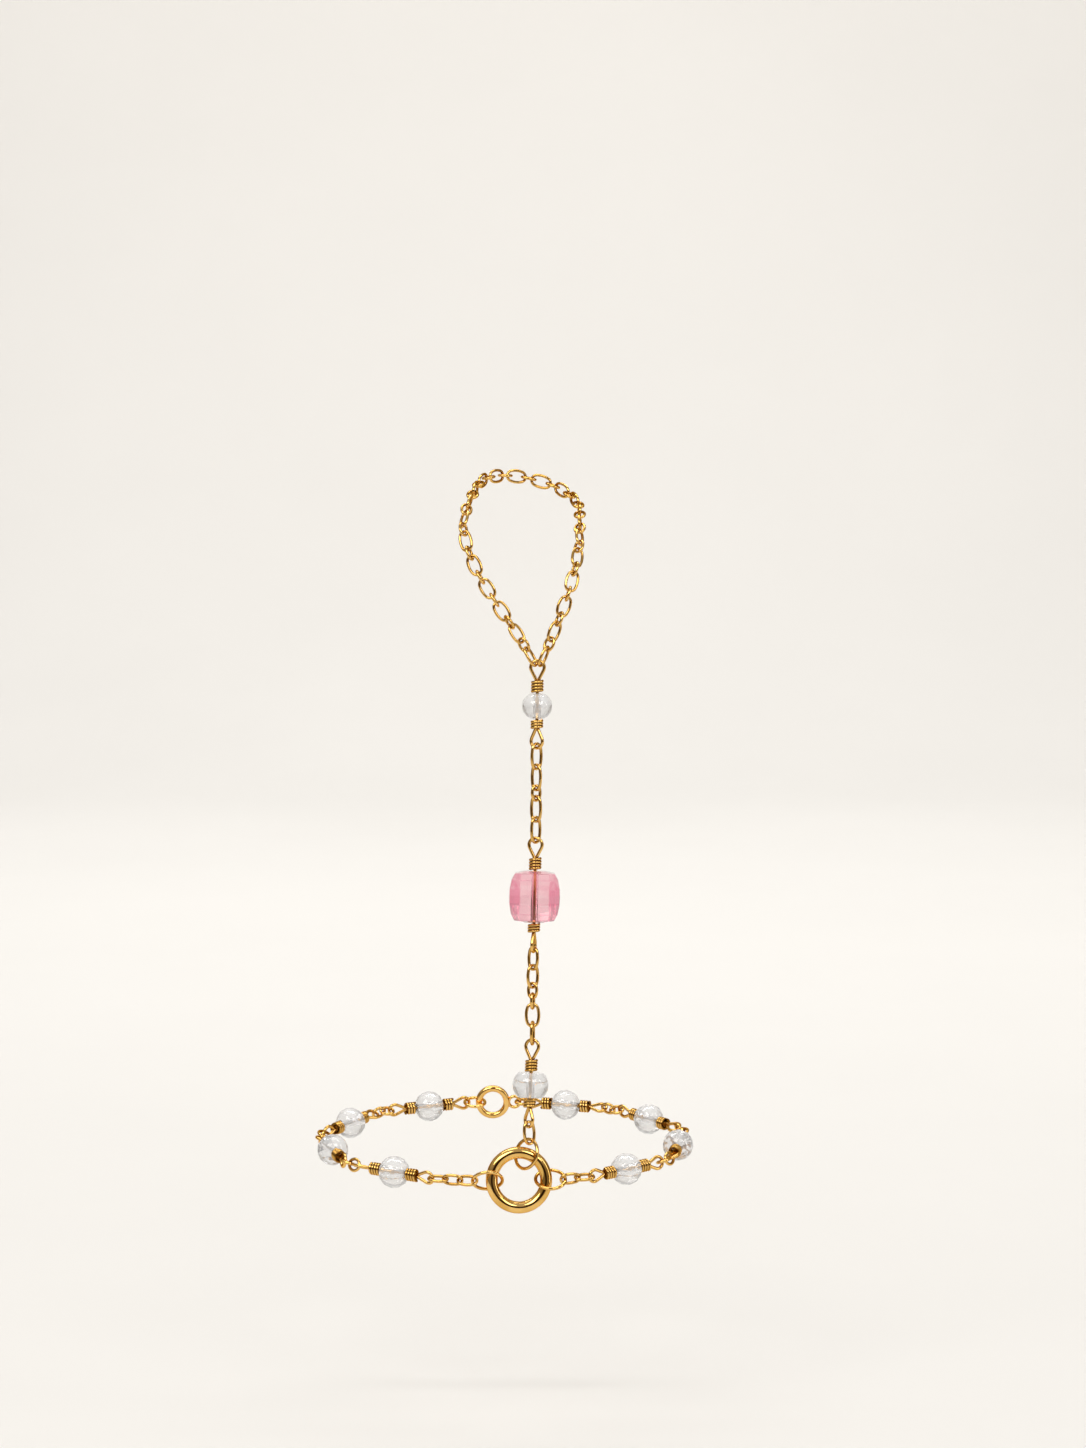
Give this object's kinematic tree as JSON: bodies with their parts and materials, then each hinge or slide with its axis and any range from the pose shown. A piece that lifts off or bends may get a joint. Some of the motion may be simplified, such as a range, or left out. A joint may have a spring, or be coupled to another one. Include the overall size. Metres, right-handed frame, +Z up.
{
  "type": "hand chain bracelet",
  "caption": "Hand chain bracelet: a wrist bracelet of wired glass beads, and a beaded drop up the back of the hand to a chain loop for the middle finger.",
  "frame": {"origin": "centre of the bracelet's loop, where the wrist goes in", "axes": "+Z up through the bracelet towards the fingers, -Y towards the front ring, +X across the wrist to the right as seen from the front"},
  "size_m": [0.0684, 0.0524, 0.1291],
  "materials": {
    "gold": "polished gold plating",
    "clear_glass": "polished, clear",
    "pink_glass": "polished, clear pink"
  },
  "bodies": {
    "root": {"front_ring": "gold", "jump_ring_left": "gold", "jump_ring_right": "gold", "jump_ring_top": "gold", "drop_bead_lower": "clear_glass", "drop_bead_pink": "pink_glass", "drop_bead_upper": "clear_glass", "drop_wire_lower": "gold", "drop_wire_pink": "gold", "drop_wire_upper": "gold", "drop_chain_lower": "gold", "drop_chain_middle": "gold", "drop_chain_upper": "gold", "finger_chain": "gold", "clasp": "gold", "clasp_ring": "gold", "wrist_bead_1": "clear_glass", "wrist_bead_2": "clear_glass", "wrist_bead_3": "clear_glass", "wrist_bead_4": "clear_glass", "wrist_bead_5": "clear_glass", "wrist_bead_6": "clear_glass", "wrist_bead_7": "clear_glass", "wrist_bead_8": "clear_glass", "wrist_wire_1": "gold", "wrist_wire_2": "gold", "wrist_wire_3": "gold", "wrist_wire_4": "gold", "wrist_wire_5": "gold", "wrist_wire_6": "gold", "wrist_wire_7": "gold", "wrist_wire_8": "gold", "wrist_chain_1": "gold", "wrist_chain_2": "gold", "wrist_chain_3": "gold", "wrist_chain_4": "gold", "wrist_chain_5": "gold", "wrist_chain_6": "gold", "wrist_chain_7": "gold", "wrist_chain_8": "gold", "wrist_chain_9": "gold"}
  },
  "joints": []
}
